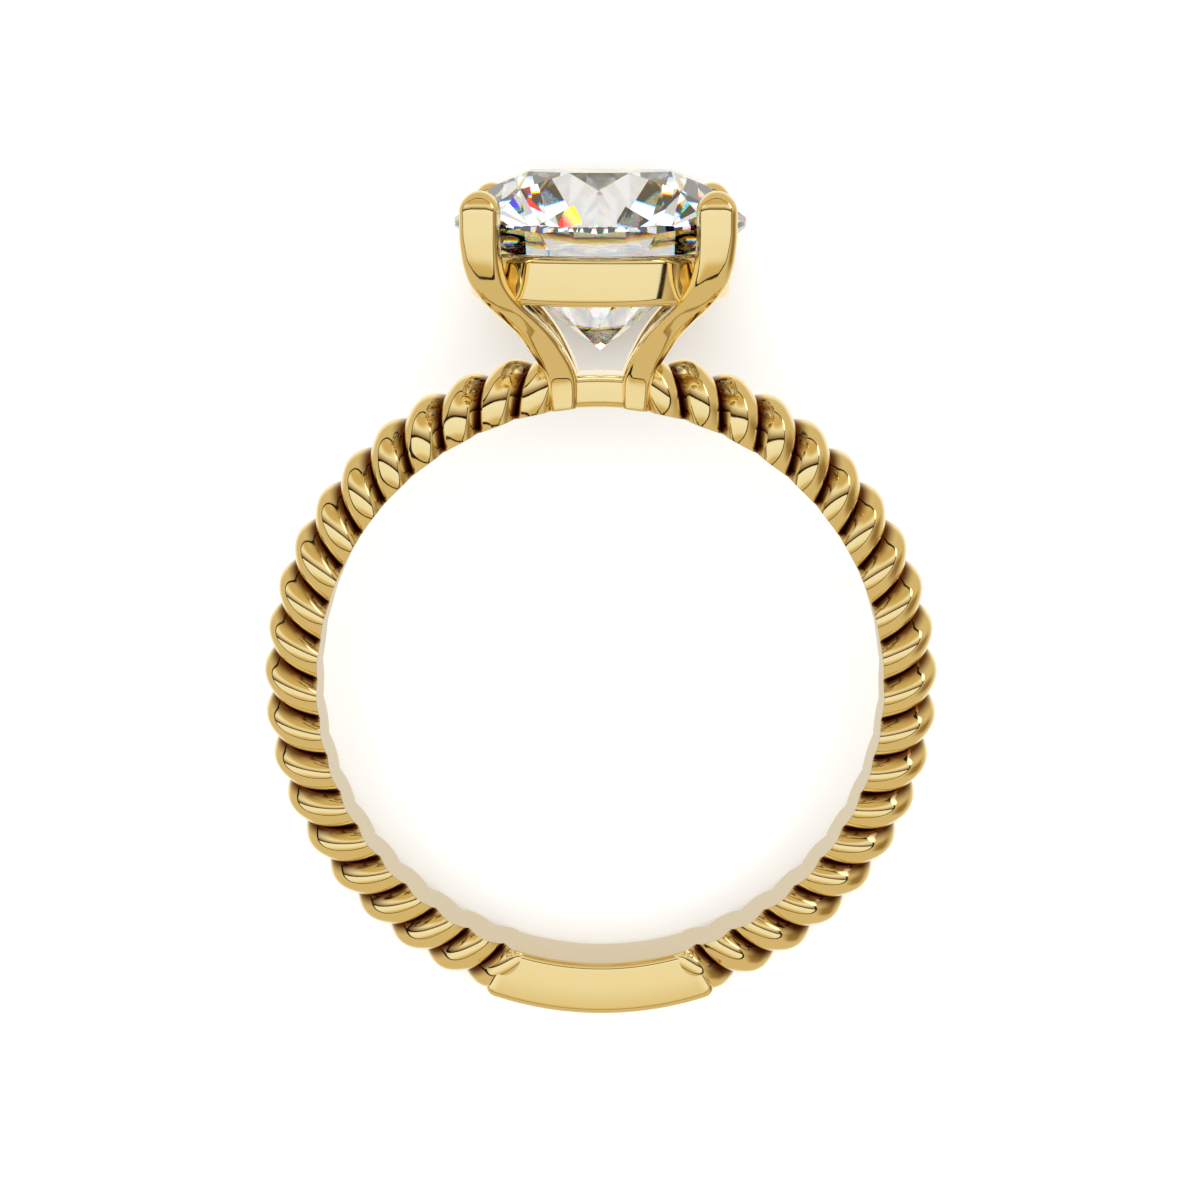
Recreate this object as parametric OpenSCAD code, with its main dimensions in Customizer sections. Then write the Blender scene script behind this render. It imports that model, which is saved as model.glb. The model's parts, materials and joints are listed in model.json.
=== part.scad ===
// Twisted shank ring. A two-strand rope runs round the finger from the feet of a
// four-prong basket head to a plain plate at the bottom, and carries one round
// brilliant stone. The pieces are drawn with the ring upright: bore axis along Y,
// head towards +Z, bore centre at zero. The whole ring is then laid on its side.

/* [Finger bore] */
// Radius of the bore that the finger goes through
bore_r = 8.675; // [8:0.025:9.5]

/* [Rope shank] */
// Radius of the circle that just holds both strands of the rope
rope_r = 1.225; // [1.1:0.005:1.4]
// How far the rope's middle line lies outside the bore wall
rope_rise = 0.48; // [0.4:0.01:0.6]
// Turn round the bore from one lobe of the rope to the next, in degrees
lobe_deg = 7.93; // [7:0.01:9]
// Turn from the middle of the head to a groove on the rope's outside, in degrees
groove_deg = 19.5; // [17:0.1:22]

/* [Bottom plate] */
// Thickness of the plate outside the bore wall
plate_t = 1.635; // [1.4:0.005:1.8]
// Width of the plate along the bore axis
plate_w = 2.33; // [2.2:0.01:2.5]
// Angle of the shank that the plate covers, in degrees
plate_deg = 40; // [34:0.5:48]
// Radius of the plate's corners in the front view
plate_corner_r = 0.35; // [0.1:0.01:0.5]

/* [Bridge] */
// Thickness of the bridge between the feet
bridge_t = 0.965; // [0.8:0.005:1.1]
// Width of the bridge along the bore axis
bridge_w = 1.98; // [1.8:0.01:2.1]
// Rounding of the long edges of the bridge and the plate
edge_r = 0.22; // [0.1:0.01:0.3]

/* [Stone] */
// Radius of the stone at its girdle
stone_r = 4.37; // [3.8:0.01:4.6]
// Height of the girdle's middle above the bore wall
stone_up = 5.485; // [5.2:0.005:6]
// Thickness of the girdle
girdle_t = 0.26; // [0.15:0.01:0.4]
// Height of the crown above the girdle
crown_h = 1.4; // [1.1:0.01:1.6]
// Depth of the pavilion below the girdle
pavilion_h = 3.73; // [3.4:0.01:4]
// Width of the table from flat to flat
table_w = 4.23; // [3.8:0.01:4.8]

/* [Basket head] */
// Width of a prong at its tip
prong_w = 1.175; // [1:0.005:1.3]
// Height of a prong's rounded tip
tip_h = 0.605; // [0.4:0.005:0.7]
// Height of the straight part of a prong above the girdle's middle
prong_over = 0.46; // [0.3:0.01:0.6]
// How far the inner corner of a prong reaches in over the girdle
grip = 0.37; // [0.2:0.01:0.45]
// Rounding of the prongs' long edges
prong_edge_r = 0.22; // [0.1:0.01:0.3]
// Width of a prong's foot
foot_w = 0.84; // [0.7:0.01:1]
// Gap between the left and right feet
foot_gap = 1.32; // [1:0.01:1.6]
// How far a foot stands proud of the bridge's face
foot_proud = 0.18; // [0.05:0.01:0.25]
// How far the gallery's outside lies inside the girdle
gallery_inset = 0.47; // [0.35:0.01:0.6]
// Wall of the gallery ring
gallery_wall = 0.5; // [0.4:0.01:0.7]
// Height of the gallery ring
gallery_h = 1.46; // [1.2:0.01:1.8]
// Rounding of the gallery ring's edges
gallery_edge_r = 0.24; // [0.1:0.01:0.24]
// Width of the seat that the stone takes from the gallery's inner top edge
seat_bite = 0.18; // [0.1:0.01:0.3]
// Clearance between the stone and the metal
seat_gap = 0.03; // [0.02:0.005:0.06]

/* [Hidden] */
$fn = 96;
gold = [0.87, 0.71, 0.38];
diamond = [0.86, 0.88, 0.9];

// How deep a piece is sunk into its neighbour, or past the bore wall, to join or be cut
sink = 0.4;
// How far the turned bars start inside the bore wall, which the bore cut then takes
skim = 0.012;
// How far the strands' ground faces stay behind the true bore wall
grind_gap = 0.01;

// Rope
rope_mid_r = bore_r + rope_rise;
// A strand's section in shares of the rope's radius: the middle of its round crown, its
// half width, and the distance from the rope's middle to the bottom of a groove
crown_share = 0.2;
wide_share = 0.825;
groove_share = 0.58;
heel_share = crown_share / sqrt(1 - pow(groove_share / wide_share, 2));
groove_turn = 180 - asin(groove_share / wide_share);
strand_points = 8;
lobe_sections = 7;
// Length of the rounded end of the rope and the share of its size that is left there
rope_end = 0.5;
rope_end_share = 0.55;
// Where the rope starts, as a share of the foot's width, and how far it runs into the plate
rope_start_share = 0.45;
under_plate_deg = 2.6;
// Where the ground faces of the strands run together they make an unbroken band, which
// takes nearly all of the width between the bottoms of the grooves
band_share = 0.97;
band_w = 2 * band_share * sqrt(pow(groove_share * rope_r, 2) - pow(rope_rise, 2));
band_t = rope_rise / 2;

// Plate and bridge
plate_out_r = bore_r + plate_t;
bridge_out_r = bore_r + bridge_t;

// Stone
girdle_z = bore_r + stone_up;
girdle_low_z = girdle_z - girdle_t / 2;
girdle_high_z = girdle_z + girdle_t / 2;
table_z = girdle_high_z + crown_h;
culet_z = girdle_low_z - pavilion_h;
facet_deg = 45;
half_deg = facet_deg / 2;
table_corner_r = table_w / 2 / cos(half_deg);
// Share of the crown that the star facets take, and of the pavilion for the lower halves
star_share = 0.5;
lower_share = 0.77;
star_r = table_w / 2 + star_share * (stone_r - table_w / 2);
lower_r = (1 - lower_share) * stone_r;
// The star tips lie in the planes of the crown's main facets, the lower tips in the pavilion's
star_z = table_z - (star_r * cos(half_deg) - table_corner_r) * crown_h / (stone_r - table_corner_r);
lower_z = culet_z + pavilion_h * lower_r * cos(half_deg) / stone_r;

// Prongs
tip_in = (stone_r - grip) / sqrt(2);
tip_mid = tip_in + prong_w / 2;
foot_x = foot_gap / 2 + foot_w / 2;
foot_face = bridge_w / 2 + foot_proud;
foot_lap = 0.05;
stem_z = girdle_z + prong_over;
// Each row: share of the height from the bore wall to the stem's top, share of the lean
// outwards, share of the growth from the foot's width to the tip's
PRONG_ROWS = [
    [0.00, 0.00, 0.00],
    [0.13, 0.02, 0.30],
    [0.21, 0.09, 0.48],
    [0.27, 0.17, 0.58],
    [0.33, 0.26, 0.64],
    [0.39, 0.37, 0.68],
    [0.46, 0.53, 0.72],
    [0.52, 0.68, 0.75],
    [0.58, 0.80, 0.78],
    [0.67, 0.92, 0.85],
    [0.78, 0.98, 0.94],
    [0.90, 1.00, 1.00],
    [1.00, 1.00, 1.00]
];
TIP_ANGLES = [22, 42, 60, 76];

// Gallery ring
gallery_r = stone_r - gallery_inset;
gallery_in_r = gallery_r - gallery_wall;
gallery_top_z = culet_z + pavilion_h * (gallery_in_r + seat_bite) / stone_r;

// Pose on the surface: the head tips up until the head and the shank are equally low
function plate_low(tilt) =
    (plate_w / 2 - edge_r) * cos(tilt) + (plate_out_r - edge_r) * sin(tilt) + edge_r;
function rope_low(tilt) = rope_mid_r * cos(plate_deg / 2) * sin(tilt) + rope_r;
function shank_low(tilt) = max(plate_low(tilt), rope_low(tilt));
head_points = concat(
    [[stone_r, girdle_low_z]],
    [for (row = PRONG_ROWS) [prong_face(row[1]), row_z(row[0])]]
);
function head_low(tilt) = max([for (p = head_points) p[0] * cos(tilt) - p[1] * sin(tilt)]);
function rest_tilt(low, high, steps) =
    let (mid = (low + high) / 2)
    steps == 0 ? mid
    : head_low(mid) > shank_low(mid) ? rest_tilt(mid, high, steps - 1)
    : rest_tilt(low, mid, steps - 1);
tilt = rest_tilt(low = 0, high = 30, steps = 40);
lift = shank_low(tilt);
// Ends of the laid ring along Y: the plate's outside and the stone's table
near_y = -((plate_w / 2 - edge_r) * sin(tilt) + (plate_out_r - edge_r) * cos(tilt) + edge_r);
far_y = table_w / 2 * sin(tilt) + table_z * cos(tilt);

// Height and widths of a prong at a row of the table
function row_z(share) = bore_r + share * (stem_z - bore_r);
function prong_mid_x(lean) = foot_x + lean * (tip_mid - foot_x);
function prong_face(lean) = foot_face + lean * (tip_mid + prong_w / 2 - foot_face);
function prong_back(lean) = -foot_lap + lean * (tip_in + foot_lap);
function prong_wide(growth) = foot_w + growth * (prong_w - foot_w);

// Outline of a rounded rectangle, corner by corner, as points in a level plane
function level_ring(x, y, half_x, half_y, corner, z) =
    let (r = min(corner, half_x * 0.9, half_y * 0.9))
    [for (side = [[1, 1, 0], [-1, 1, 90], [-1, -1, 180], [1, -1, 270]], turn = [0, 45, 90])
        [
            x + side[0] * (half_x - r) + r * cos(side[2] + turn),
            y + side[1] * (half_y - r) + r * sin(side[2] + turn),
            z
        ]];

// A point of a strand's outline, from groove to groove: outwards and sideways from the
// rope's middle
function strand_point(share) =
    let (t = groove_turn * (2 * share - 1))
    rope_r * [
        crown_share + (cos(t) > 0 ? 1 - crown_share : heel_share) * cos(t),
        wide_share * sin(t)
    ];

// A point of the rope: turn from the head, angle round the rope with 0 outwards, distance.
// The side towards the finger is ground off to the bore, along the line to the rope's middle.
function rope_point(turn, angle, r) =
    let (
        ground = rope_rise - grind_gap,
        left = r * cos(angle) < -ground ? -ground / cos(angle) : r,
        from_axis = rope_mid_r + left * cos(angle)
    )
    [from_axis * sin(turn), -left * sin(angle), from_axis * cos(turn)];

// A body through rings of points, closed by one point at each end. The rings run
// counter-clockwise about the direction in which they follow each other.
module ringed_body(rings, first_tip, last_tip) {
    count = len(rings[0]);
    last = len(rings) - 1;
    tip_a = (last + 1) * count;
    polyhedron(
        points = concat([for (ring = rings) each ring], [first_tip, last_tip]),
        faces = concat(
            [for (k = [0 : last - 1], j = [0 : count - 1])
                let (a = k * count + j, b = k * count + (j + 1) % count)
                each [[a, a + count, b], [a + count, b + count, b]]],
            [for (j = [0 : count - 1]) [tip_a, j, (j + 1) % count]],
            [for (j = [0 : count - 1])
                [tip_a + 1, last * count + (j + 1) % count, last * count + j]]
        ),
        convexity = 10
    );
}

// The rope of one side, from inside the feet to inside the plate
module rope() {
    from_deg = asin((foot_gap / 2 + foot_w * rope_start_share) / rope_mid_r);
    to_deg = 180 - plate_deg / 2 + under_plate_deg;
    sections = round((to_deg - from_deg) / lobe_deg * lobe_sections);
    end_deg = rope_end / rope_mid_r * 180 / PI;
    turns = [for (k = [0 : sections]) from_deg + (to_deg - from_deg) * k / sections];
    rings = [for (turn = turns)
        let (
            to_end = min(1, min(turn - from_deg, to_deg - turn) / end_deg),
            size = rope_end_share + (1 - rope_end_share) * sqrt(1 - pow(1 - to_end, 2)),
            crown = 180 * (turn - groove_deg) / lobe_deg + 90
        )
        [for (strand = [0, 1], j = [0 : strand_points - 1])
            let (p = strand_point(j / strand_points))
            rope_point(turn, crown + 180 * strand + atan2(p[1], p[0]), size * norm(p))]];
    ringed_body(rings, rope_point(from_deg, 0, 0), rope_point(to_deg, 0, 0));
}

// A bar turned about the bore axis between two angles from the head
module turned_bar(out_r, width, from_deg, sweep_deg) {
    rotate([90, 0, 0])
        rotate_extrude(angle = sweep_deg, start = 90 - from_deg - sweep_deg)
            rounded_section(bore_r - skim, out_r, -width / 2, width / 2, edge_r);
}

// A rectangle with round corners, as four circles and two bars in the plane
module rounded_section(x0, x1, y0, y1, r) {
    translate([x0 + r, y0]) square([x1 - x0 - 2 * r, y1 - y0]);
    translate([x0, y0 + r]) square([x1 - x0, y1 - y0 - 2 * r]);
    for (x = [x0 + r, x1 - r], y = [y0 + r, y1 - r])
        translate([x, y]) circle(r = r);
}

// What a round corner leaves over of the plate's square one, at the end towards +X
module plate_corner() {
    reach = plate_corner_r + skim;
    rotate([0, -plate_deg / 2, 0])
        translate([skim - plate_corner_r, 0, skim + plate_corner_r - plate_out_r])
            rotate([90, 0, 0])
                linear_extrude(height = 2 * plate_w, center = true)
                    difference() {
                        translate([0, -2 * reach]) square([2 * reach, 2 * reach]);
                        circle(r = plate_corner_r);
                    }
}

module bottom_plate() {
    difference() {
        turned_bar(plate_out_r, plate_w, 180 - plate_deg / 2, plate_deg);
        plate_corner();
        mirror([1, 0, 0]) plate_corner();
    }
}

module bridge() {
    bridge_deg = 2 * asin(foot_x / bridge_out_r);
    turned_bar(bridge_out_r, bridge_w, -bridge_deg / 2, bridge_deg);
}

// One front prong on the right, from its foot in the bore wall to its rounded tip
module prong() {
    rows = concat([[-sink / (stem_z - bore_r), 0, 0]], PRONG_ROWS);
    stem = [for (row = rows)
        let (face = prong_face(row[1]), back = prong_back(row[1]))
        level_ring(
            prong_mid_x(row[1]), -(face + back) / 2,
            prong_wide(row[2]) / 2, (face - back) / 2,
            prong_edge_r, row_z(row[0])
        )];
    tip = [for (angle = TIP_ANGLES)
        level_ring(
            tip_mid, -tip_mid,
            prong_w / 2 * cos(angle), prong_w / 2 * cos(angle),
            prong_edge_r, stem_z + tip_h * sin(angle)
        )];
    foot_middle = [foot_x, -(foot_face - foot_lap) / 2, bore_r - sink];
    ringed_body(concat(stem, tip), foot_middle, [tip_mid, -tip_mid, stem_z + tip_h]);
}

// The unbroken middle of the bore wall
module bore_band() {
    rotate([90, 0, 0])
        rotate_extrude()
            translate([bore_r - skim, -band_w / 2]) square([band_t + skim, band_w]);
}

module gallery() {
    rotate_extrude()
        rounded_section(
            gallery_in_r, gallery_r,
            gallery_top_z - gallery_h, gallery_top_z,
            gallery_edge_r
        );
}

// The room that the stone takes up when it is turned, with the clearance all round
module stone_seat() {
    deep = seat_gap * norm([stone_r, pavilion_h]) / stone_r;
    rotate_extrude()
        polygon([
            [0, culet_z - deep],
            [lower_r, lower_z - deep],
            [stone_r + seat_gap, girdle_low_z - deep],
            [stone_r + seat_gap, girdle_high_z + deep],
            [star_r, star_z + deep],
            [table_corner_r, table_z + deep],
            [0, table_z + deep]
        ]);
}

module upright_ring() {
    rope();
    mirror([1, 0, 0]) rope();
    difference() {
        union() {
            bore_band();
            bottom_plate();
            bridge();
            gallery();
            for (side = [0, 1], depth = [0, 1])
                mirror([side, 0, 0]) mirror([0, depth, 0]) prong();
        }
        rotate([90, 0, 0])
            cylinder(r = bore_r, h = 4 * plate_w, center = true);
        stone_seat();
    }
}

// Height of a facet's plane at the girdle, half way between two of the girdle's corners
function girdle_mid_z(tip_r, tip_z, edge_z) =
    let (
        edge_r_mid = stone_r * cos(half_deg / 2),
        tip_along = tip_r * cos(half_deg / 2)
    )
    edge_z + (tip_z - edge_z) * (edge_r_mid - stone_r) / (edge_r_mid - tip_along);

function round_point(r, angle, z) = [r * cos(angle), r * sin(angle), z];

// The round brilliant: table, stars, crown mains, upper halves, girdle, lower halves
// and pavilion mains
module upright_stone() {
    steps = 32;
    step_deg = 360 / steps;
    high_mid_z = girdle_mid_z(star_r, star_z, girdle_high_z);
    low_mid_z = girdle_mid_z(lower_r, lower_z, girdle_low_z);
    table_pts = [for (k = [0 : 7]) round_point(table_corner_r, half_deg + k * facet_deg, table_z)];
    star_pts = [for (k = [0 : 7]) round_point(star_r, k * facet_deg, star_z)];
    high_pts = [for (k = [0 : steps - 1])
        round_point(stone_r, k * step_deg, k % 2 == 0 ? girdle_high_z : high_mid_z)];
    low_pts = [for (k = [0 : steps - 1])
        round_point(stone_r, k * step_deg, k % 2 == 0 ? girdle_low_z : low_mid_z)];
    lower_pts = [for (k = [0 : 7]) round_point(lower_r, k * facet_deg, lower_z)];
    star = 8;
    high = 16;
    low = high + steps;
    lower = low + steps;
    culet = lower + 8;
    polyhedron(
        points = concat(table_pts, star_pts, high_pts, low_pts, lower_pts, [[0, 0, culet_z]]),
        faces = concat(
            [[for (k = [7 : -1 : 0]) k]],
            [for (k = [0 : 7]) let (n = (k + 1) % 8, m = (k + 7) % 8, g = 4 * k, h = 4 * n)
                each [
                    [star + k, m, k],
                    [star + k, k, star + n, high + g + 2],
                    [star + k, high + g + 2, high + g + 1, high + g],
                    [star + n, high + h, high + g + 3, high + g + 2],
                    [lower + k, low + g, low + g + 1, low + g + 2],
                    [lower + n, low + g + 2, low + g + 3, low + h],
                    [culet, lower + k, low + g + 2, lower + n]
                ]],
            [for (k = [0 : steps - 1]) let (n = (k + 1) % steps)
                [high + k, high + n, low + n, low + k]]
        ),
        convexity = 4
    );
}

// Lays the upright ring on its back, tipped by the height of its head
module on_its_side() {
    translate([0, -(near_y + far_y) / 2, lift])
        rotate([tilt - 90, 0, 0])
            children();
}

module ring() {
    color(gold) on_its_side() upright_ring();
}

module stone() {
    color(diamond) on_its_side() upright_stone();
}

ring();
stone();
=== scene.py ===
import json
import math

import bmesh
import bpy
from mathutils import Matrix, Vector


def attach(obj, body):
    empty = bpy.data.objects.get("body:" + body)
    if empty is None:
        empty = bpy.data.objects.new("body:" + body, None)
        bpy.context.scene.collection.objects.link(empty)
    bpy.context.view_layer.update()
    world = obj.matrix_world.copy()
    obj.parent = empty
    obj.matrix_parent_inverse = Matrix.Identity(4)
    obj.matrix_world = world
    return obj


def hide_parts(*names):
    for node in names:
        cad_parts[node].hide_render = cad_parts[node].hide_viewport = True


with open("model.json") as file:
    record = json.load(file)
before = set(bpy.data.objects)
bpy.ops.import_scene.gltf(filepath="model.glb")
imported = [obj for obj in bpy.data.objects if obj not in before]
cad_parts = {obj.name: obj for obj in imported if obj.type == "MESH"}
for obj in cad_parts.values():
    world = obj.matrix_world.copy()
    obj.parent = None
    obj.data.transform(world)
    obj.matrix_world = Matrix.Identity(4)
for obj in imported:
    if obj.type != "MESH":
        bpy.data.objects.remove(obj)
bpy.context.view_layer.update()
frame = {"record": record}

# The ring is drawn upright, in millimetres: bore axis along Y, stone towards +Z, the
# middle of the bore at zero. It lies on its back, so every finished mesh is turned and
# scaled into the place that the finger bore has in the model.
bore_mount = frame["record"]["mounts"][0]
bore_axis = Vector(bore_mount["axis"]).normalized()
laid_turn = Matrix((
    (1, 0, 0),
    (0, -bore_axis.y, bore_axis.z),
    (0, -bore_axis.z, -bore_axis.y),
)).to_4x4()
laid = Matrix.Translation(bore_mount["pos_m"]) @ laid_turn @ Matrix.Scale(0.001, 4)
bore_r = bore_mount["dims"]["r_mm"]

# A long lens in front of the upright ring, a little above the middle of the bore and
# looking slightly down, which is above the floor now that the ring lies on it.
eye = Vector((1.4032, -85.6379, 18.4541))
looks_at = Vector((-0.009, 0.0, 2.628))
ahead = (looks_at - eye).normalized()
right = ahead.cross(Vector((0, 0, 1))).normalized()
over = right.cross(ahead)
camera_data = bpy.data.cameras.new("camera")
camera_data.lens = 85
camera_data.sensor_width = 36
camera_data.clip_start = 0.001
camera_data.clip_end = 10
camera = bpy.data.objects.new("camera", camera_data)
bpy.context.scene.collection.objects.link(camera)
camera.matrix_world = (
    Matrix.Translation(laid @ eye)
    @ laid_turn
    @ Matrix((right, over, -ahead)).transposed().to_4x4()
)
bpy.context.scene.camera = camera

# The rope shank: two round gold wires twisted together and bent round the finger, one
# rope on each side and each the mirror image of the other. After soldering, the inside
# is ground out to one round bore, which leaves a satin land on every strand.
rope_r = 1.225
rope_mid_r = 9.155
rope_from_deg = 6.4
rope_to_deg = 166.2
lobe_deg = 7.93
first_groove_deg = 19.5
strand_points = 32
lobe_steps = 24

# One strand's outline, as shares of the rope's radius: where its middle lies, how far
# it reaches sideways, and where the two strands meet in the groove.
crown_share = 0.2
wide_share = 0.785
groove_share = 0.66
# The strand's side that faces the head leans in towards the groove.
groove_lean = 0.1
# The rope's ends are rounded over this length, down to this share of its thickness.
end_length = 0.3
end_share = 0.55
# Under the feet and the plate the rope stays this far clear of the bore.
sunk_to_deg = 9.4
sunk_from_deg = 162.5
sunk_depth = 0.03
# Painted shade darkens each strand towards the groove: it starts this far from its crown,
# in degrees round the rope, and is full after so many more: first on the head's side, then on the
# plate's.
head_side_shade_deg = 42, 34
plate_side_shade_deg = 74, 12

gold_tones = (0.955, 0.775, 0.4), (0.975, 0.8, 0.43)
# The painted shade deep in the rope's grooves, a dark brown.
groove_painted_shade = (0.13, 0.035, 0.006)
satin_tone = (0.71, 0.6, 0.42)
polish_roughness = 0.045, 0.085
satin_roughness = 0.3
# The satin land ends between these heights over the bore, in metres.
satin_full = 0.000004
satin_none = 0.00002
hairline_depth = 0.000002
hairline_strength = 0.06

gold = bpy.data.materials.new("polished_gold")
gold.use_nodes = True
nodes, links = gold.node_tree.nodes, gold.node_tree.links
shader = nodes["Principled BSDF"]
shader.inputs["Metallic"].default_value = 1
place = nodes.new("ShaderNodeTexCoord")


def blended(mask, plain, marked):
    """The plain number or colour, changing to the marked one where the mask is 1."""
    node = nodes.new("ShaderNodeMix")
    node.data_type = "FLOAT" if isinstance(marked, float) else "RGBA"
    ends = (2, 3) if isinstance(marked, float) else (6, 7)
    links.new(mask, node.inputs[0])
    for end, value in zip(ends, (plain, marked)):
        if isinstance(value, bpy.types.NodeSocket):
            links.new(value, node.inputs[end])
        else:
            node.inputs[end].default_value = value if isinstance(value, float) else (*value, 1)
    return node.outputs[0 if isinstance(marked, float) else 2]


def ramped(value, low, high, at_low, at_high):
    """A number that goes smoothly from one end to the other as the value does."""
    node = nodes.new("ShaderNodeMapRange")
    node.interpolation_type = "SMOOTHSTEP"
    links.new(value, node.inputs["Value"])
    for socket, number in zip(node.inputs[1:5], (low, high, at_low, at_high)):
        socket.default_value = number
    return node.outputs[0]


from_middle = nodes.new("ShaderNodeVectorMath")
from_middle.operation = "SUBTRACT"
from_middle.inputs[1].default_value = bore_mount["pos_m"]
links.new(place.outputs["Object"], from_middle.inputs[0])
off_axis = nodes.new("ShaderNodeVectorMath")
off_axis.operation = "CROSS_PRODUCT"
off_axis.inputs[1].default_value = bore_axis
links.new(from_middle.outputs[0], off_axis.inputs[0])
reach_out = nodes.new("ShaderNodeVectorMath")
reach_out.operation = "LENGTH"
links.new(off_axis.outputs[0], reach_out.inputs[0])
satin_land = ramped(
    reach_out.outputs["Value"], bore_r / 1000 + satin_full, bore_r / 1000 + satin_none, 1, 0
)

cloud = nodes.new("ShaderNodeTexNoise")
cloud.inputs["Scale"].default_value = 900
cloud.inputs["Detail"].default_value = 3
links.new(place.outputs["Object"], cloud.inputs["Vector"])
hairline_run = nodes.new("ShaderNodeMapping")
hairline_run.inputs["Rotation"].default_value = (0.3, 0.5, 0.4)
hairline_run.inputs["Scale"].default_value = (1, 14, 1)
links.new(place.outputs["Object"], hairline_run.inputs["Vector"])
hairlines = nodes.new("ShaderNodeTexNoise")
hairlines.inputs["Scale"].default_value = 2500
hairlines.inputs["Detail"].default_value = 2
links.new(hairline_run.outputs[0], hairlines.inputs["Vector"])
# How much painted groove shade each point of the rope takes, from 0 on the crown to 1 in the groove,
# and none on the satin land.
groove = nodes.new("ShaderNodeAttribute")
groove.attribute_name = "groove"
painted_groove_shade = nodes.new("ShaderNodeMath")
painted_groove_shade.operation = "SUBTRACT"
painted_groove_shade.use_clamp = True
links.new(groove.outputs["Fac"], painted_groove_shade.inputs[0])
links.new(satin_land, painted_groove_shade.inputs[1])

tone = blended(cloud.outputs[0], *gold_tones)
# Painted shade: the strands turn dark brown towards the grooves.
tone = blended(painted_groove_shade.outputs[0], tone, groove_painted_shade)
tone = blended(satin_land, tone, satin_tone)
links.new(tone, shader.inputs["Base Color"])
polish = ramped(cloud.outputs[0], 0.3, 0.7, *polish_roughness)
links.new(blended(satin_land, polish, satin_roughness), shader.inputs["Roughness"])
relief = nodes.new("ShaderNodeBump")
relief.inputs["Strength"].default_value = hairline_strength
relief.inputs["Distance"].default_value = hairline_depth
links.new(hairlines.outputs[0], relief.inputs["Height"])
links.new(relief.outputs[0], shader.inputs["Normal"])


def bring_in(bm, name):
    mesh = bpy.data.meshes.new(name)
    bm.to_mesh(mesh)
    bm.free()
    piece = bpy.data.objects.new(name, mesh)
    bpy.context.scene.collection.objects.link(piece)
    return piece


def cut_away(piece, tool):
    cut = piece.modifiers.new("cut", "BOOLEAN")
    cut.operation = "DIFFERENCE"
    cut.solver = "MANIFOLD"
    cut.object = tool
    bpy.context.view_layer.update()
    shaped = piece.evaluated_get(bpy.context.evaluated_depsgraph_get())
    piece.data = bpy.data.meshes.new_from_object(shaped)
    piece.modifiers.clear()


def finish_gold(piece, sharp_deg):
    """Lays a gold piece in its place and polishes it, sharp only where it folds by more."""
    bm = bmesh.new()
    bm.from_mesh(piece.data)
    bmesh.ops.remove_doubles(bm, verts=bm.verts, dist=0.0005)
    bmesh.ops.recalc_face_normals(bm, faces=bm.faces)
    bmesh.ops.transform(bm, matrix=laid, verts=bm.verts)
    for face in bm.faces:
        face.smooth = True
    bm.to_mesh(piece.data)
    bm.free()
    piece.data.set_sharp_from_angle(angle=math.radians(sharp_deg))
    piece.data.materials.clear()
    piece.data.materials.append(gold)
    even = piece.modifiers.new("even_faces", "WEIGHTED_NORMAL")
    even.mode = "FACE_AREA"
    even.keep_sharp = True
    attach(piece, "root")
    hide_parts("ring")


bm = bmesh.new()
bmesh.ops.create_cone(
    bm, cap_ends=True, segments=720, radius1=bore_r, radius2=bore_r, depth=8,
    matrix=Matrix.Rotation(math.pi / 2, 4, "X"),
)
finger_drill = bring_in(bm, "finger_drill")

heel_share = crown_share / math.sqrt(1 - (groove_share / wide_share) ** 2)
groove_turn = math.pi - math.asin(groove_share / wide_share)
outline = []
for strand in range(2):
    for j in range(strand_points):
        t = groove_turn * (2 * j / strand_points - 1)
        out = crown_share + (1 - crown_share if math.cos(t) > 0 else heel_share) * math.cos(t)
        side = wide_share * math.sin(t)
        outline.append((rope_r * math.hypot(out, side), math.atan2(side, out) + strand * math.pi))

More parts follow.
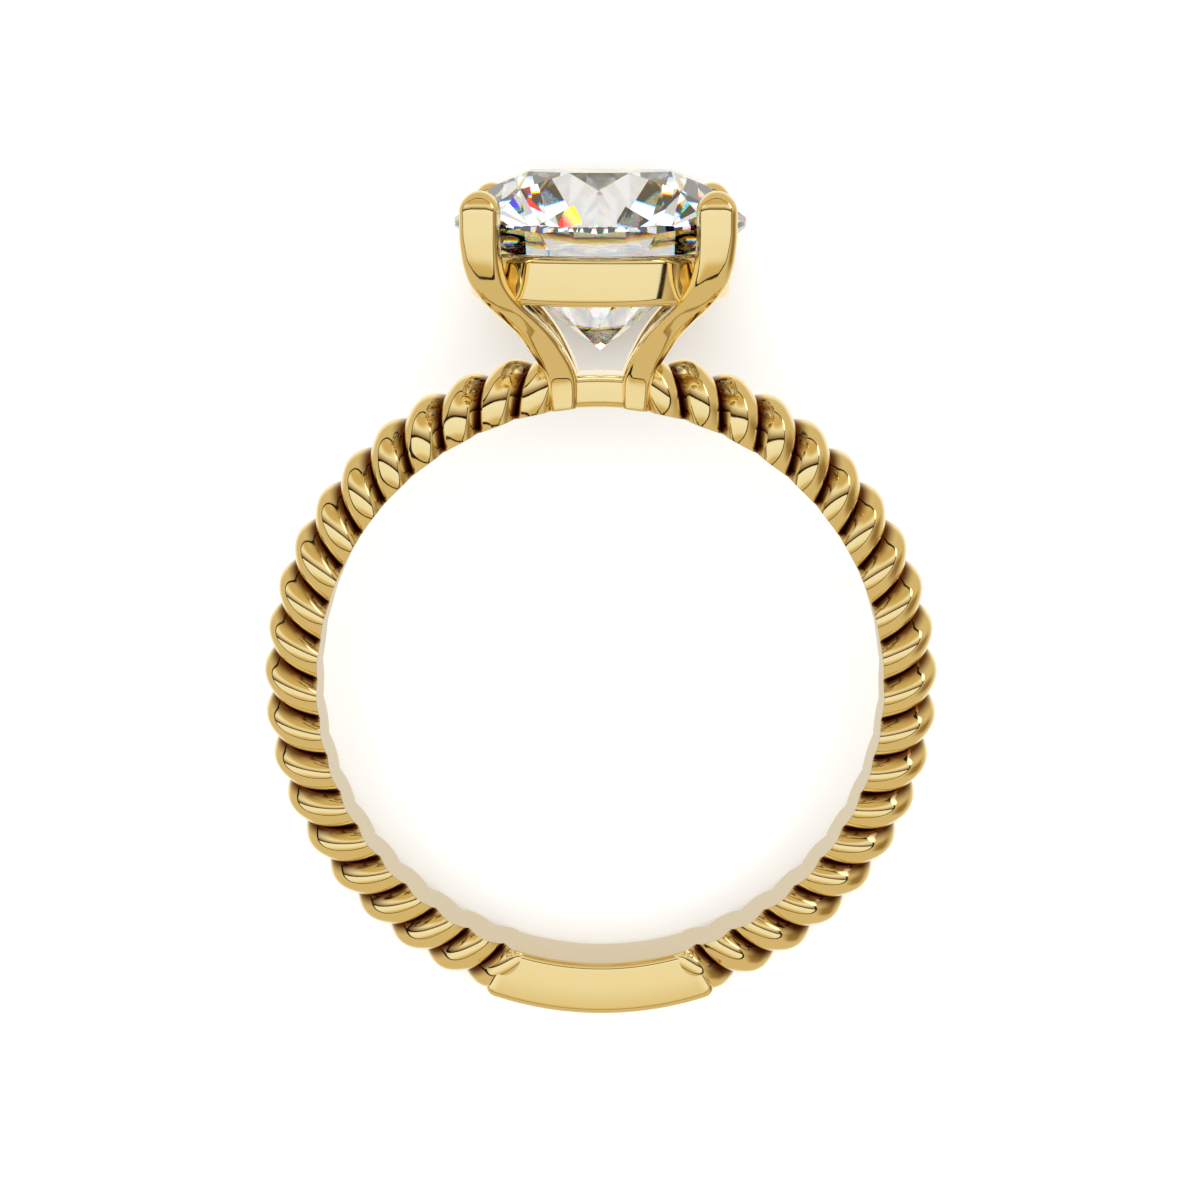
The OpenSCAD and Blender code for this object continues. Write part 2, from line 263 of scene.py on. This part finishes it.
rope_sweep_deg = rope_to_deg - rope_from_deg
end_deg = math.degrees(end_length / rope_mid_r)
for name, mirrored in (("rope_right", 1), ("rope_left", -1)):
    bm = bmesh.new()
    section = bmesh.ops.create_circle(bm, segments=len(outline), radius=rope_r)["verts"]
    for vert, (reach, angle) in zip(section, outline):
        vert.co = (0, -reach * math.sin(angle), rope_mid_r + reach * math.cos(angle))
    bmesh.ops.rotate(
        bm, verts=bm.verts, cent=(0, 0, 0),
        matrix=Matrix.Rotation(math.radians(rope_from_deg), 3, "Y"),
    )
    bmesh.ops.spin(
        bm, geom=bm.verts[:] + bm.edges[:], cent=(0, 0, 0), axis=(0, 1, 0),
        angle=math.radians(rope_sweep_deg), steps=round(rope_sweep_deg / lobe_deg * lobe_steps),
    )
    # Each point's share of the painted groove shade, darker towards the groove and sooner on the head's
    # side.
    groove_shade_mark = bm.verts.layers.float.new("groove")
    for vert in bm.verts:
        turn = math.degrees(math.atan2(vert.co.x, vert.co.z))
        out = math.hypot(vert.co.x, vert.co.z) - rope_mid_r
        angle = math.atan2(-vert.co.y, out)
        to_end = min(1, max(0, min(turn - rope_from_deg, rope_to_deg - turn)) / end_deg)
        reach = math.hypot(out, vert.co.y)
        from_crown = (math.degrees(angle) + 90) % 180 - 90
        if from_crown > 0:
            reach *= 1 - groove_lean * math.sin(math.pi * (from_crown / 90) ** 4)
            shade_from, shade_over = head_side_shade_deg
        else:
            shade_from, shade_over = plate_side_shade_deg
        depth = min(1, max(0, (abs(from_crown) - shade_from) / shade_over))
        vert[groove_shade_mark] = depth * depth * (3 - 2 * depth)
        reach *= end_share + (1 - end_share) * math.sqrt(1 - (1 - to_end) ** 2)
        angle += math.radians(180 * (turn - first_groove_deg) / lobe_deg + 90)
        from_axis = rope_mid_r + reach * math.cos(angle)
        if turn < sunk_to_deg or turn > sunk_from_deg:
            from_axis = max(from_axis, bore_r + sunk_depth)
        turn = math.radians(turn)
        vert.co = (
            mirrored * from_axis * math.sin(turn),
            -reach * math.sin(angle),
            from_axis * math.cos(turn),
        )
    open_ends = [edge for edge in bm.edges if edge.is_boundary]
    bmesh.ops.holes_fill(bm, edges=open_ends, sides=0)
    bmesh.ops.recalc_face_normals(bm, faces=bm.faces)
    rope = bring_in(bm, name)
    cut_away(rope, finger_drill)
    finish_gold(rope, 38)

# A plain curved bar of the same gold, soldered between the two ropes at the bottom of
# the ring. Its edges are broken and its outer corners rounded, its ends are cut a
# little askew, and inside it is ground flush with the bore.
plate_out_r = 10.31
plate_half_deg = 20
plate_half_w = 1.165
plate_edge = 0.22
plate_outer_corner = 0.35
plate_inner_corner = 0.26
plate_end_lean_deg = 0.8
bend_step_deg = 0.5


def curved_bar(name, out_r, middle_deg, half_deg, half_w, edge_r, outer_corner, inner_corner, end_lean):
    """A bar drawn straight, with its corners and edges rounded, then bent on the bore."""
    mid_r = (bore_r + out_r) / 2
    half_l = math.radians(half_deg) * mid_r
    half_t = (out_r - bore_r) / 2
    bm = bmesh.new()
    bmesh.ops.create_grid(bm, x_segments=1, y_segments=1, size=1)
    bmesh.ops.scale(bm, vec=(half_l, half_t, 1), verts=bm.verts)
    for height, corner_r in ((half_t, outer_corner), (-half_t, inner_corner)):
        bmesh.ops.bevel(
            bm, geom=[vert for vert in bm.verts if abs(vert.co.y - height) < 0.0001],
            offset=corner_r, affect="VERTICES",
            segments=10, profile=0.5, material=-1, clamp_overlap=False,
        )
    pushed = bmesh.ops.extrude_face_region(bm, geom=bm.faces[:])["geom"]
    bmesh.ops.translate(
        bm, vec=(0, 0, 2 * half_w), verts=[g for g in pushed if isinstance(g, bmesh.types.BMVert)]
    )
    bmesh.ops.recalc_face_normals(bm, faces=bm.faces)
    rims = [edge for edge in bm.edges if abs(edge.verts[0].co.z - edge.verts[1].co.z) < half_w]
    bmesh.ops.bevel(
        bm, geom=rims, offset=edge_r, affect="EDGES",
        segments=8, profile=0.5, material=-1, clamp_overlap=False,
    )
    steps = round(2 * half_deg / bend_step_deg)
    for k in range(1, steps):
        bmesh.ops.bisect_plane(
            bm, geom=bm.verts[:] + bm.edges[:] + bm.faces[:], dist=0.0001,
            plane_co=(half_l * (2 * k / steps - 1), 0, 0), plane_no=(1, 0, 0),
        )
    for vert in bm.verts:
        along, up, through = vert.co
        turn = math.radians(middle_deg + along / half_l * (half_deg + end_lean * up / half_t))
        reach = mid_r + up
        vert.co = (reach * math.sin(turn), through - half_w, reach * math.cos(turn))
    bmesh.ops.recalc_face_normals(bm, faces=bm.faces)
    return bring_in(bm, name)


finish_gold(curved_bar(
    "bottom_plate", plate_out_r, 180, plate_half_deg, plate_half_w,
    plate_edge, plate_outer_corner, plate_inner_corner, plate_end_lean_deg,
), 60)

# The bridge: a short plain bar of gold between the feet of the prongs, which closes
# the top of the shank. The feet are soldered over both of its ends.
bridge_out_r = 9.64
bridge_half_deg = 7
bridge_half_w = 0.99
bridge_edge = 0.226
bridge_corner = 0.26
finish_gold(curved_bar(
    "bridge", bridge_out_r, 0, bridge_half_deg, bridge_half_w,
    bridge_edge, bridge_corner, bridge_corner, 0,
), 60)

# One round brilliant, cut from clear crystal in flat facets: a table, eight stars,
# eight kites and sixteen halves above the girdle, sixteen halves and eight kites below.
girdle_r = 4.37
girdle_low_z = 14.03
girdle_high_z = 14.29
table_z = 15.69
table_flat_r = 2.115
culet_z = 10.3
star_share = 0.5
lower_share = 0.77
girdle_sides = 96
# The crystal bends red, green and blue light by these, and white light by the second.
red_bend, green_bend, blue_bend = 2.395, 2.42, 2.45


def round_point(radius, degrees, z):
    turn = math.radians(degrees)
    return Vector((radius * math.cos(turn), radius * math.sin(turn), z))


half_facet = math.cos(math.pi / 8)
table_r = table_flat_r / half_facet
star_r = table_flat_r + star_share * (girdle_r - table_flat_r)
star_drop = (star_r * half_facet - table_r) / (girdle_r - table_r)
star_z = table_z - star_drop * (table_z - girdle_high_z)
lower_r = (1 - lower_share) * girdle_r
lower_z = culet_z + (girdle_low_z - culet_z) * lower_r * half_facet / girdle_r
culet = Vector((0, 0, culet_z))
facets = [tuple(round_point(table_r, turn, table_z) for turn in (22.5, 112.5, 202.5))]
for k in range(8):
    star_turn, kite_turn, last_kite_turn = 45 * k, 45 * k + 22.5, 45 * k - 22.5
    star_tip = round_point(star_r, star_turn, star_z)
    lower_tip = round_point(lower_r, star_turn, lower_z)
    table_tip = round_point(table_r, kite_turn, table_z)
    high_middle, high_tip, last_high_tip = (
        round_point(girdle_r, turn, girdle_high_z) for turn in (star_turn, kite_turn, last_kite_turn)
    )
    low_middle, low_tip, last_low_tip = (
        round_point(girdle_r, turn, girdle_low_z) for turn in (star_turn, kite_turn, last_kite_turn)
    )
    facets += [
        (table_tip, star_tip, high_tip),
        (star_tip, table_tip, round_point(table_r, last_kite_turn, table_z)),
        (star_tip, high_middle, high_tip),
        (star_tip, high_middle, last_high_tip),
        (culet, lower_tip, low_tip),
        (lower_tip, low_middle, low_tip),
        (lower_tip, low_middle, last_low_tip),
    ]
stone_heart = Vector((0, 0, (girdle_low_z + girdle_high_z) / 2))
bm = bmesh.new()
bmesh.ops.create_cone(
    bm, cap_ends=True, segments=girdle_sides, radius1=girdle_r, radius2=girdle_r, depth=14,
    matrix=Matrix.Translation(stone_heart),
)
for a, b, c in facets:
    outwards = (b - a).cross(c - a).normalized()
    if outwards.dot(a - stone_heart) < 0:
        outwards.negate()
    cut = bmesh.ops.bisect_plane(
        bm, geom=bm.verts[:] + bm.edges[:] + bm.faces[:], dist=0.00001,
        plane_co=a, plane_no=outwards, clear_outer=True,
    )
    rim = [g for g in cut["geom_cut"] if isinstance(g, bmesh.types.BMEdge)]
    bmesh.ops.contextual_create(bm, geom=rim)
bmesh.ops.remove_doubles(bm, verts=bm.verts, dist=0.002)
bmesh.ops.dissolve_degenerate(bm, edges=bm.edges, dist=0.001)
bmesh.ops.recalc_face_normals(bm, faces=bm.faces)
bmesh.ops.transform(bm, matrix=laid, verts=bm.verts)
stone = bring_in(bm, "round_brilliant")
clear = bpy.data.materials.new("clear_crystal")
clear.use_nodes = True
nodes, links = clear.node_tree.nodes, clear.node_tree.links
nodes.remove(nodes["Principled BSDF"])


def glass_of(tint, bend):
    glass = nodes.new("ShaderNodeBsdfGlass")
    glass.inputs["Color"].default_value = (*tint, 1)
    glass.inputs["Roughness"].default_value = 0
    glass.inputs["IOR"].default_value = bend
    return glass.outputs[0]


def joined(share, first, second):
    """Two shaders mixed, with the second one's share of the light."""
    both = nodes.new("ShaderNodeMixShader")
    both.inputs[0].default_value = share
    links.new(first, both.inputs[1])
    links.new(second, both.inputs[2])
    return both


# Light that enters splits into its colours, each a third of it and three times as
# strong. Light inside the stone, or seen in the gold, stays as it is.
entering = joined(
    1 / 3,
    joined(1 / 2, glass_of((3, 0, 0), red_bend), glass_of((0, 3, 0), green_bend)).outputs[0],
    glass_of((0, 0, 3), blue_bend),
).outputs[0]
body = joined(1, entering, glass_of((1, 1, 1), green_bend))
facing = nodes.new("ShaderNodeNewGeometry")
path = nodes.new("ShaderNodeLightPath")
unsplit = nodes.new("ShaderNodeMath")
unsplit.operation = "MAXIMUM"
links.new(facing.outputs["Backfacing"], unsplit.inputs[0])
links.new(path.outputs["Is Glossy Ray"], unsplit.inputs[1])
links.new(unsplit.outputs[0], body.inputs[0])
links.new(body.outputs[0], nodes["Material Output"].inputs["Surface"])
stone.data.materials.append(clear)
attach(stone, "root")
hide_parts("stone")

# Four square wires with rounded edges, soldered to the bridge in pairs. Each stands
# on the bore, leans out in an S and ends in a round tip. Its inside is cut away to a
# seat, which grips the stone's girdle.
tip_mid = 3.415
tip_in = 2.8275
tip_w = 1.175
tip_h = 0.605
foot_x = 1.08
foot_w = 0.84
foot_face = 1.17
foot_lap = 0.05
foot_edge = 0.06
stem_z = 14.62
seat_gap = 0.04
girdle_gap = 0.03
# Up the stem: share of its height, how far it has leaned out, how far it has grown from
# the foot's width to the tip's, and the radius of its edges.
prong_rows = (
    (0.00, 0.00, 0.00, 0.30),
    (0.13, 0.02, 0.30, 0.31),
    (0.21, 0.09, 0.48, 0.33),
    (0.27, 0.17, 0.58, 0.36),
    (0.33, 0.26, 0.64, 0.38),
    (0.39, 0.37, 0.68, 0.40),
    (0.46, 0.53, 0.72, 0.41),
    (0.52, 0.68, 0.75, 0.42),
    (0.58, 0.80, 0.78, 0.42),
    (0.67, 0.92, 0.85, 0.41),
    (0.78, 0.98, 0.94, 0.38),
    (0.90, 1.00, 1.00, 0.36),
    (1.00, 1.00, 1.00, 0.36),
)
fullest_edge = 0.9
stem_steps = 56
tip_steps = 14
edge_points = 7


def eased(rows, at, column):
    """The column's value at a height, on a smooth line through the rows."""
    slopes = [(b[column] - a[column]) / (b[0] - a[0]) for a, b in zip(rows, rows[1:])]
    tangents = [
        0 if before * after <= 0 else 2 * before * after / (before + after)
        for before, after in zip(slopes[:1] + slopes, slopes + slopes[-1:])
    ]
    k = max(i for i in range(len(slopes)) if rows[i][0] <= at)
    span = rows[k + 1][0] - rows[k][0]
    t = (at - rows[k][0]) / span
    return (
        (2 * t ** 3 - 3 * t ** 2 + 1) * rows[k][column]
        + (t ** 3 - 2 * t ** 2 + t) * span * tangents[k]
        + (3 * t ** 2 - 2 * t ** 3) * rows[k + 1][column]
        + (t ** 3 - t ** 2) * span * tangents[k + 1]
    )


bm = bmesh.new()
seat_points = (
    (0, culet_z - seat_gap), (lower_r, lower_z - seat_gap),
    (girdle_r + girdle_gap, girdle_low_z - seat_gap), (girdle_r + girdle_gap, girdle_high_z + seat_gap),
    (star_r, star_z + seat_gap), (table_r, table_z + seat_gap), (0, table_z + seat_gap),
)
walls = [bm.verts.new((x, 0, z)) for x, z in seat_points]
for a, b in zip(walls, walls[1:]):
    bm.edges.new((a, b))
bmesh.ops.spin(
    bm, geom=bm.verts[:] + bm.edges[:], cent=(0, 0, 0), axis=(0, 0, 1),
    angle=2 * math.pi, steps=192, use_merge=True,
)
bmesh.ops.remove_doubles(bm, verts=bm.verts, dist=0.0001)
bmesh.ops.recalc_face_normals(bm, faces=bm.faces)
stone_room = bring_in(bm, "stone_room")

corner_turns = [
    (sx, sy, first + 90 * k / (edge_points - 1))
    for sx, sy, first in ((1, 1, 0), (-1, 1, 90), (-1, -1, 180), (1, -1, 270))
    for k in range(edge_points)
]
levels = [(k / stem_steps, 0) for k in range(stem_steps + 1)]
levels += [(1, 90 * k / tip_steps) for k in range(1, tip_steps)]
for name, side, depth in (
    ("prong_front_right", 1, 1), ("prong_front_left", -1, 1),
    ("prong_back_right", 1, -1), ("prong_back_left", -1, -1),
):
    bm = bmesh.new()
    ring = bmesh.ops.create_circle(bm, segments=len(corner_turns), radius=1)["verts"]
    loop = bm.edges[:]
    for level, (share, tip_turn) in enumerate(levels):
        if level:
            grown = bmesh.ops.extrude_edge_only(bm, edges=loop)["geom"]
            loop = [g for g in grown if isinstance(g, bmesh.types.BMEdge) and g.is_boundary]
            below = set(ring)
            above = {}
            for vert in (g for g in grown if isinstance(g, bmesh.types.BMVert)):
                mate = next(e.other_vert(vert) for e in vert.link_edges if e.other_vert(vert) in below)
                above[mate] = vert
            ring = [above[vert] for vert in ring]
        lean, growth = eased(prong_rows, share, 1), eased(prong_rows, share, 2)
        narrow = math.cos(math.radians(tip_turn))
        z = bore_r + share * (stem_z - bore_r) + tip_h * math.sin(math.radians(tip_turn))
        face = foot_face + lean * (tip_mid + tip_w / 2 - foot_face)
        back = -foot_lap + lean * (tip_in + foot_lap)
        mid_x = foot_x + lean * (tip_mid - foot_x)
        mid_y = (face + back) / 2
        half_x = (foot_w + growth * (tip_w - foot_w)) / 2 * narrow
        half_y = (face - back) / 2 * narrow
        edge_r = min(eased(prong_rows, share, 3), fullest_edge * half_x, fullest_edge * half_y)
        for vert, (sx, sy, degrees) in zip(ring, corner_turns):
            turn = math.radians(degrees)
            vert.co = (
                mid_x + sx * (half_x - edge_r) + edge_r * math.cos(turn),
                mid_y + sy * (half_y - edge_r) + edge_r * math.sin(turn),
                z,
            )
            if level == 0:
                vert.co.z = math.sqrt(bore_r ** 2 - vert.co.x ** 2)
    bmesh.ops.holes_fill(bm, edges=[edge for edge in bm.edges if edge.is_boundary], sides=0)
    bmesh.ops.recalc_face_normals(bm, faces=bm.faces)
    foot_rim = [
        edge for edge in bm.edges
        if all(abs(math.hypot(v.co.x, v.co.z) - bore_r) < 0.0001 for v in edge.verts)
    ]
    bmesh.ops.bevel(
        bm, geom=foot_rim, offset=foot_edge, affect="EDGES",
        segments=4, profile=0.5, material=-1, clamp_overlap=True,
    )
    bmesh.ops.scale(bm, vec=(side, -depth, 1), verts=bm.verts)
    bmesh.ops.recalc_face_normals(bm, faces=bm.faces)
    prong = bring_in(bm, name)
    cut_away(prong, stone_room)
    finish_gold(prong, 50)

# The gallery ring: a plain round band of gold soldered inside the four prongs, with
# its edges rounded. Its mouth is cut to the stone's underside, which rests in it.
gallery_out_r = 3.9
gallery_wall = 0.5
gallery_low_z = 11.896
gallery_top_z = 13.356
gallery_edge = 0.24
bm = bmesh.new()
bmesh.ops.create_grid(bm, x_segments=1, y_segments=1, size=0.5)
bmesh.ops.scale(bm, vec=(gallery_wall, gallery_top_z - gallery_low_z, 1), verts=bm.verts)
bmesh.ops.bevel(
    bm, geom=bm.verts[:], offset=gallery_edge, affect="VERTICES",
    segments=8, profile=0.5, material=-1, clamp_overlap=False,
)
bmesh.ops.rotate(bm, verts=bm.verts, cent=(0, 0, 0), matrix=Matrix.Rotation(math.pi / 2, 3, "X"))
bmesh.ops.translate(
    bm, verts=bm.verts,
    vec=(gallery_out_r - gallery_wall / 2, 0, (gallery_low_z + gallery_top_z) / 2),
)
bmesh.ops.delete(bm, geom=bm.faces[:], context="FACES_ONLY")
bmesh.ops.spin(
    bm, geom=bm.verts[:] + bm.edges[:], cent=(0, 0, 0), axis=(0, 0, 1),
    angle=2 * math.pi, steps=180, use_merge=True,
)
bmesh.ops.remove_doubles(bm, verts=bm.verts, dist=0.0001)
bmesh.ops.recalc_face_normals(bm, faces=bm.faces)
gallery = bring_in(bm, "gallery_ring")
cut_away(gallery, stone_room)
finish_gold(gallery, 50)

for tool in (finger_drill, stone_room):
    bpy.data.objects.remove(tool)

# The floor that the ring lies on: a plain matt board, nearly white. It takes the
# ring's soft shadow, but the gold and the stone show the studio in its place.
floor_half = 2
floor_tone = (0.93, 0.93, 0.93)
bm = bmesh.new()
bmesh.ops.create_grid(bm, x_segments=1, y_segments=1, size=floor_half)
floor = bring_in(bm, "floor")
pale = bpy.data.materials.new("pale_floor")
pale.use_nodes = True
matt = pale.node_tree.nodes["Principled BSDF"]
matt.inputs["Base Color"].default_value = (*floor_tone, 1)
matt.inputs["Roughness"].default_value = 0.9
matt.inputs["Specular IOR Level"].default_value = 0.1
floor.data.materials.append(pale)
floor.visible_glossy = False
floor.visible_transmission = False

# The studio round it: one large soft oval panel in front of the ring, with a thin dark
# rim and the dark edge of a table across it, and dimmer walls outside the panel. Its
# angles are in degrees, in the upright frame and as seen from the ring.
panel_az, panel_el = -14, 19
panel_half_w = 74
panel_half_h = 63
# Up the panel: height, and the light's colour there.
panel_light = (
    (-90, (0.50, 0.40, 0.22)), (-60, (0.52, 0.42, 0.24)), (-44, (0.58, 0.46, 0.24)),
    (-30, (0.67, 0.54, 0.27)), (-18, (0.88, 0.85, 0.74)), (5, (0.93, 0.95, 0.94)),
    (20, (0.93, 0.93, 0.90)), (38, (0.90, 0.88, 0.75)), (50, (0.64, 0.50, 0.24)),
    (66, (0.62, 0.47, 0.22)), (82, (0.75, 0.62, 0.38)),
)
rim_share = 0.028
table_edge_tilt = Vector((0.05, 0.27, 1))
table_edge_deg = 4
haze_deg = 26
wall_az, wall_el, wall_half_deg = 88, -12, 8
lamp_az, lamp_el, lamp_half_w, lamp_half_h = 67, 40, 6, 15
outside_light = (0.68, 0.57, 0.36)
back_light = (1.0, 0.97, 0.88)
wall_light = (0.3, 0.2, 0.08)
haze_light = (0.3, 0.18, 0.06)
edge_dark = (0.01, 0.006, 0.002)
lamp_light = (2.2, 2.2, 2.1)
# What the stone gathers: plain light, one bright band, and four dark ones.
stone_light = (0.92, 0.93, 0.95)
stone_bright = (1.9, 1.9, 1.9)
stone_dark = (0.01, 0.01, 0.012)
floor_light = (1.75, 1.75, 1.75)
seen_light = (1.0, 1.0, 1.0)

world = bpy.data.worlds.new("studio")
bpy.context.scene.world = world
world.use_nodes = True
nodes, links = world.node_tree.nodes, world.node_tree.links
sky = nodes["Background"]
ray_way = nodes.new("ShaderNodeTexCoord").outputs["Generated"]


def worked(operation, *values):
    node = nodes.new("ShaderNodeMath")
    node.operation = operation
    for socket, value in zip(node.inputs, values):
        if isinstance(value, bpy.types.NodeSocket):
            links.new(value, socket)
        else:
            socket.default_value = value
    return node.outputs[0]


def share_along(way):
    """How far a ray goes along a direction that is given in the upright frame."""
    node = nodes.new("ShaderNodeVectorMath")
    node.operation = "DOT_PRODUCT"
    links.new(ray_way, node.inputs[0])
    node.inputs[1].default_value = laid_turn.to_3x3() @ Vector(way).normalized()
    return node.outputs["Value"]


def gap(value, middle, half, soft):
    """1 in a thin gap, and 0 away from it."""
    return ramped(worked("ABSOLUTE", worked("SUBTRACT", value, middle)), half, half + soft, 1, 0)


def distance(x, y):
    return worked("SQRT", worked("ADD", worked("MULTIPLY", x, x), worked("MULTIPLY", y, y)))


radian = 180 / math.pi
rise = worked("MULTIPLY", worked("ARCSINE", share_along((0, 0, 1))), radian)
round_about = worked(
    "MULTIPLY", worked("ARCTAN2", share_along((1, 0, 0)), share_along((0, -1, 0))), radian
)
az, el = math.radians(panel_az), math.radians(panel_el)
to_panel = Vector((math.sin(az) * math.cos(el), -math.cos(az) * math.cos(el), math.sin(el)))
panel_right = Vector((math.cos(az), math.sin(az), 0))
side_share, up_share = share_along(panel_right), share_along(to_panel.cross(panel_right))
from_panel = worked("MULTIPLY", worked("ARCCOSINE", share_along(to_panel)), radian)
oval = worked(
    "DIVIDE",
    worked("MULTIPLY", from_panel, distance(
        worked("DIVIDE", side_share, panel_half_w), worked("DIVIDE", up_share, panel_half_h)
    )),
    worked("MAXIMUM", distance(side_share, up_share), 0.001),
)
over_edge = worked("MULTIPLY", worked("ARCSINE", share_along(table_edge_tilt)), radian)
inside = worked("LESS_THAN", oval, 1)
over_table = worked("MULTIPLY", inside, ramped(over_edge, -0.3, 0, 0, 1))
table_edge = worked("MULTIPLY", over_table, ramped(over_edge, table_edge_deg, table_edge_deg + 2, 1, 0))
table_haze = worked("MULTIPLY", over_table, ramped(over_edge, table_edge_deg - 1, haze_deg, 1, 0))

panel = nodes.new("ShaderNodeValToRGB")
links.new(worked("MULTIPLY_ADD", rise, 1 / 180, 0.5), panel.inputs["Fac"])
while len(panel.color_ramp.elements) < len(panel_light):
    panel.color_ramp.elements.new(0.5)
for stop, (height, colour) in zip(panel.color_ramp.elements, panel_light):
    stop.position = (height + 90) / 180
    stop.color = (*colour, 1)
lamp = ramped(distance(
    worked("DIVIDE", worked("SUBTRACT", round_about, lamp_az), lamp_half_w),
    worked("DIVIDE", worked("SUBTRACT", rise, lamp_el), lamp_half_h),
), 0.8, 1.2, 1, 0)
right_wall = worked(
    "MULTIPLY", gap(round_about, wall_az, wall_half_deg, 26), gap(rise, wall_el, wall_half_deg, 24)
)
light = blended(inside, outside_light, panel.outputs[0])
light = blended(ramped(share_along((0, 1, 0)), 0.5, 0.85, 0, 1), light, back_light)
light = blended(right_wall, light, wall_light)
light = blended(table_haze, light, haze_light)
light = blended(table_edge, light, edge_dark)
light = blended(gap(oval, 1, rim_share, 0.008), light, edge_dark)
light = blended(lamp, light, lamp_light)

bright_band = gap(rise, 40, 12, 0.3)
dark_bands = gap(rise, 64, 9, 0.3)
for value, middle, half in ((rise, -36, 6), (round_about, 40, 8), (round_about, -48, 9)):
    dark_bands = worked("MAXIMUM", dark_bands, gap(value, middle, half, 0.3))
facet_light = blended(bright_band, stone_light, stone_bright)
facet_light = blended(dark_bands, facet_light, stone_dark)
ray = nodes.new("ShaderNodeLightPath")
light = blended(ray.outputs["Is Transmission Ray"], light, facet_light)
light = blended(ray.outputs["Is Diffuse Ray"], light, floor_light)
light = blended(ray.outputs["Is Camera Ray"], light, seen_light)
links.new(light, sky.inputs["Color"])

bpy.context.scene.view_settings.view_transform = "Standard"
